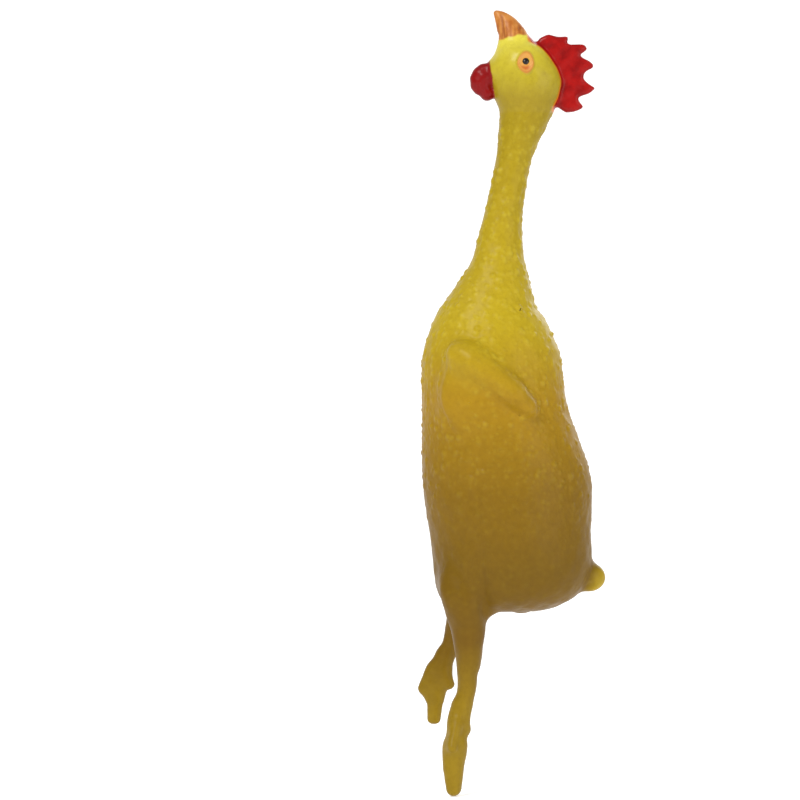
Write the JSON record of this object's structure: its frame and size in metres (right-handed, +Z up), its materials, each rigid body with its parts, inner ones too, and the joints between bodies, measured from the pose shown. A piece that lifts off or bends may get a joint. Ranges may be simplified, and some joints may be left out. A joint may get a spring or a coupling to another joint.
{
  "type": "rubber chicken",
  "caption": "Stretchy soft-rubber chicken squeeze toy held upright, with bending neck, floppy comb and wattle, and legs that swing and stretch.",
  "frame": {"origin": "middle of the hand grip, inside the body", "axes": "+Z up the body towards the beak, +X towards the bird's back, +Y towards the bird's right side"},
  "size_m": [0.0556, 0.0416, 0.2298],
  "materials": {
    "body_rubber": "glossy soft moulded rubber, mustard yellow",
    "head_rubber": "glossy soft moulded rubber, lemon yellow",
    "fill": "soft fill",
    "plug_rubber": "soft moulded rubber plug",
    "beak_paint": "painted rubber, tan orange",
    "comb_paint": "glossy painted rubber, red",
    "eye_paint": "painted rubber, peach",
    "pupil_paint": "glossy painted rubber, black"
  },
  "bodies": {
    "torso": {"torso_skin": "body_rubber", "torso_fill": "fill", "fill_plug": "plug_rubber", "left_thigh": "body_rubber", "right_thigh": "body_rubber"},
    "neck_lower": {"neck_lower_skin": "body_rubber", "neck_lower_fill": "fill"},
    "neck_middle": {"neck_middle_skin": "body_rubber", "neck_middle_fill": "fill"},
    "neck_upper": {"neck_upper_skin": "body_rubber", "neck_upper_fill": "fill"},
    "neck_top": {"neck_top_skin": "body_rubber", "neck_top_fill": "fill"},
    "head": {"head_skin": "head_rubber", "head_fill": "fill", "upper_beak": "beak_paint", "lower_beak": "beak_paint", "left_eye_ring": "eye_paint", "left_pupil": "pupil_paint", "right_eye_ring": "eye_paint", "right_pupil": "pupil_paint"},
    "comb": {"comb": "comb_paint"},
    "wattle": {"wattle": "comb_paint"},
    "tail": {"tail": "body_rubber"},
    "left_flank": {"left_flank": "body_rubber", "left_wing": "body_rubber"},
    "left_upper_leg": {"left_upper_leg": "body_rubber"},
    "left_lower_leg": {"left_lower_leg": "body_rubber"},
    "left_foot": {"left_foot": "body_rubber", "left_outer_toe": "body_rubber", "left_hind_toe": "body_rubber"},
    "left_toes": {"left_middle_toe": "body_rubber", "left_inner_toe": "body_rubber"},
    "right_flank": {"right_flank": "body_rubber", "right_wing": "body_rubber"},
    "right_upper_leg": {"right_upper_leg": "body_rubber"},
    "right_lower_leg": {"right_lower_leg": "body_rubber"},
    "right_foot": {"right_foot": "body_rubber", "right_outer_toe": "body_rubber", "right_hind_toe": "body_rubber"},
    "right_toes": {"right_middle_toe": "body_rubber", "right_inner_toe": "body_rubber"}
  },
  "joints": [
    {"name": "neck_bend", "type": "hinge", "parent": "torso", "child": "neck_lower", "pos_m": [-0.00332, 0, 0.0495], "axis": [0, 1, 0], "range_deg": [-35, 35], "stiffness_Nm_per_rad": 0.3},
    {"name": "neck_stretch", "type": "slide", "parent": "neck_lower", "child": "neck_middle", "axis": [0.105, 0, 0.9945], "range_m": [0, 0.035], "stiffness_N_per_m": 60},
    {"name": "neck_sway", "type": "hinge", "parent": "neck_middle", "child": "neck_upper", "pos_m": [0.00024, 0, 0.076], "axis": [1, 0, 0], "range_deg": [-35, 35], "stiffness_Nm_per_rad": 0.15},
    {"name": "neck_twist", "type": "hinge", "parent": "neck_upper", "child": "neck_top", "pos_m": [0.002, 0, 0.085], "axis": [0.2073, 0, 0.9783], "range_deg": [-60, 60], "stiffness_Nm_per_rad": 0.05},
    {"name": "head_nod", "type": "hinge", "parent": "neck_top", "child": "head", "pos_m": [0.00457, 0, 0.0955], "axis": [0, 1, 0], "range_deg": [-30, 30], "stiffness_Nm_per_rad": 0.1},
    {"name": "comb_flop", "type": "hinge", "parent": "head", "child": "comb", "pos_m": [0.0105, 0, 0.121], "axis": [0.2665, 0, -0.9638], "range_deg": [-20, 20], "stiffness_Nm_per_rad": 0.01},
    {"name": "wattle_swing", "type": "hinge", "parent": "head", "child": "wattle", "pos_m": [-0.0036, 0, 0.1104], "axis": [0, 0, 1], "range_deg": [-18, 18], "stiffness_Nm_per_rad": 0.005},
    {"name": "tail_wag", "type": "hinge", "parent": "torso", "child": "tail", "pos_m": [0.022, 0, -0.034], "axis": [0, 1, 0], "range_deg": [-18, 18], "stiffness_Nm_per_rad": 0.01},
    {"name": "left_flank_press", "type": "slide", "parent": "torso", "child": "left_flank", "axis": [0, 1, 0], "range_m": [0, 0.005], "stiffness_N_per_m": 150, "deforming": ["torso_fill"]},
    {"name": "right_flank_press", "type": "slide", "parent": "torso", "child": "right_flank", "axis": [0, -1, 0], "range_m": [0, 0.005], "stiffness_N_per_m": 150, "deforming": ["torso_fill"]},
    {"name": "left_hip_swing", "type": "hinge", "parent": "torso", "child": "left_upper_leg", "pos_m": [-0.01108, -0.00868, -0.0525], "axis": [0, 1, 0], "range_deg": [-35, 35], "stiffness_Nm_per_rad": 0.03},
    {"name": "left_leg_stretch", "type": "slide", "parent": "left_upper_leg", "child": "left_lower_leg", "axis": [-0.0995, 0.0142, -0.9949], "range_m": [0, 0.02], "stiffness_N_per_m": 40},
    {"name": "left_ankle_bend", "type": "hinge", "parent": "left_lower_leg", "child": "left_foot", "pos_m": [-0.01341, -0.0082, -0.0745], "axis": [0, 1, 0], "range_deg": [-30, 30], "stiffness_Nm_per_rad": 0.01},
    {"name": "left_toe_curl", "type": "hinge", "parent": "left_foot", "child": "left_toes", "pos_m": [-0.01569, -0.01008, -0.08781], "axis": [0.1998, 0.9798, -0.006], "range_deg": [-25, 25], "stiffness_Nm_per_rad": 0.003},
    {"name": "right_hip_swing", "type": "hinge", "parent": "torso", "child": "right_upper_leg", "pos_m": [-0.01398, 0.00938, -0.0505], "axis": [0, 1, 0], "range_deg": [-35, 35], "stiffness_Nm_per_rad": 0.03},
    {"name": "right_leg_stretch", "type": "slide", "parent": "right_upper_leg", "child": "right_lower_leg", "axis": [-0.4135, 0.1034, -0.9046], "range_m": [0, 0.012], "stiffness_N_per_m": 40},
    {"name": "right_ankle_bend", "type": "hinge", "parent": "right_lower_leg", "child": "right_foot", "pos_m": [-0.01788, 0.01035, -0.0605], "axis": [0, 1, 0], "range_deg": [-30, 30], "stiffness_Nm_per_rad": 0.01},
    {"name": "right_toe_curl", "type": "hinge", "parent": "right_foot", "child": "right_toes", "pos_m": [-0.02121, 0.01185, -0.07086], "axis": [0.9877, -0.1457, -0.0567], "range_deg": [-25, 25], "stiffness_Nm_per_rad": 0.003}
  ],
  "couplings": [
    {"joint": "right_flank_press", "follows": "left_flank_press", "ratio": 1}
  ]
}
